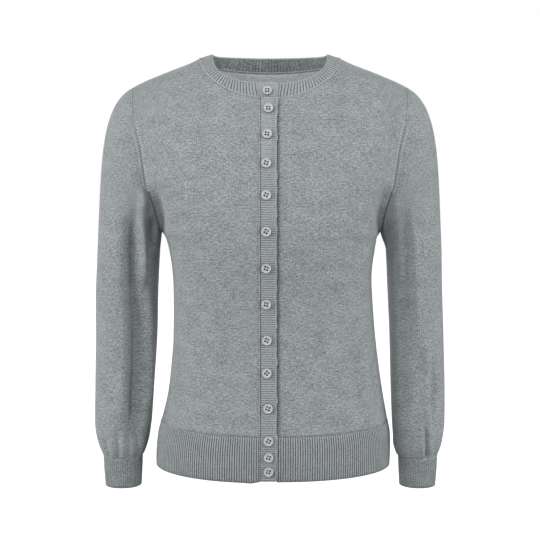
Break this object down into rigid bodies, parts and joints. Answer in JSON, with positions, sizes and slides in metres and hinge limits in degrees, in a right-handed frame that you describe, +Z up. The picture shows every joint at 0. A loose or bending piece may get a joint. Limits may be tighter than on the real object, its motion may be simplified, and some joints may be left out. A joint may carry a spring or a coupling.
{
  "type": "button cardigan",
  "caption": "Worn grey melange fine-knit crew-neck cardigan, buttoned to the neck, with ribbed neckband, plackets, cuffs and deep hem.",
  "frame": {"origin": "midway between the wearer's two shoulder points, level with the neckband's highest points, where the shoulders carry the garment", "axes": "+X towards the wearer's left, -Y out of the buttoned front, +Z up"},
  "size_m": [0.4771, 0.2237, 0.5801],
  "materials": {
    "grey_melange_jersey": "matte fine-gauge plain knit in heathered yarn",
    "grey_melange_rib": "matte one-by-one rib knit in heathered yarn",
    "grey_button_resin": "satin light grey resin"
  },
  "bodies": {
    "root": {"front_right": "grey_melange_jersey", "front_left": "grey_melange_jersey", "back": "grey_melange_jersey", "sleeve_right": "grey_melange_jersey", "sleeve_left": "grey_melange_jersey", "cuff_right": "grey_melange_rib", "cuff_left": "grey_melange_rib", "hem_rib_right": "grey_melange_rib", "hem_rib_left": "grey_melange_rib", "hem_rib_back": "grey_melange_rib", "neckband": "grey_melange_rib", "placket_right": "grey_melange_rib", "placket_left": "grey_melange_rib", "button_01": "grey_button_resin", "button_02": "grey_button_resin", "button_03": "grey_button_resin", "button_04": "grey_button_resin", "button_05": "grey_button_resin", "button_06": "grey_button_resin", "button_07": "grey_button_resin", "button_08": "grey_button_resin", "button_09": "grey_button_resin", "button_10": "grey_button_resin", "button_11": "grey_button_resin", "button_12": "grey_button_resin", "button_13": "grey_button_resin", "button_14": "grey_button_resin"}
  },
  "joints": []
}
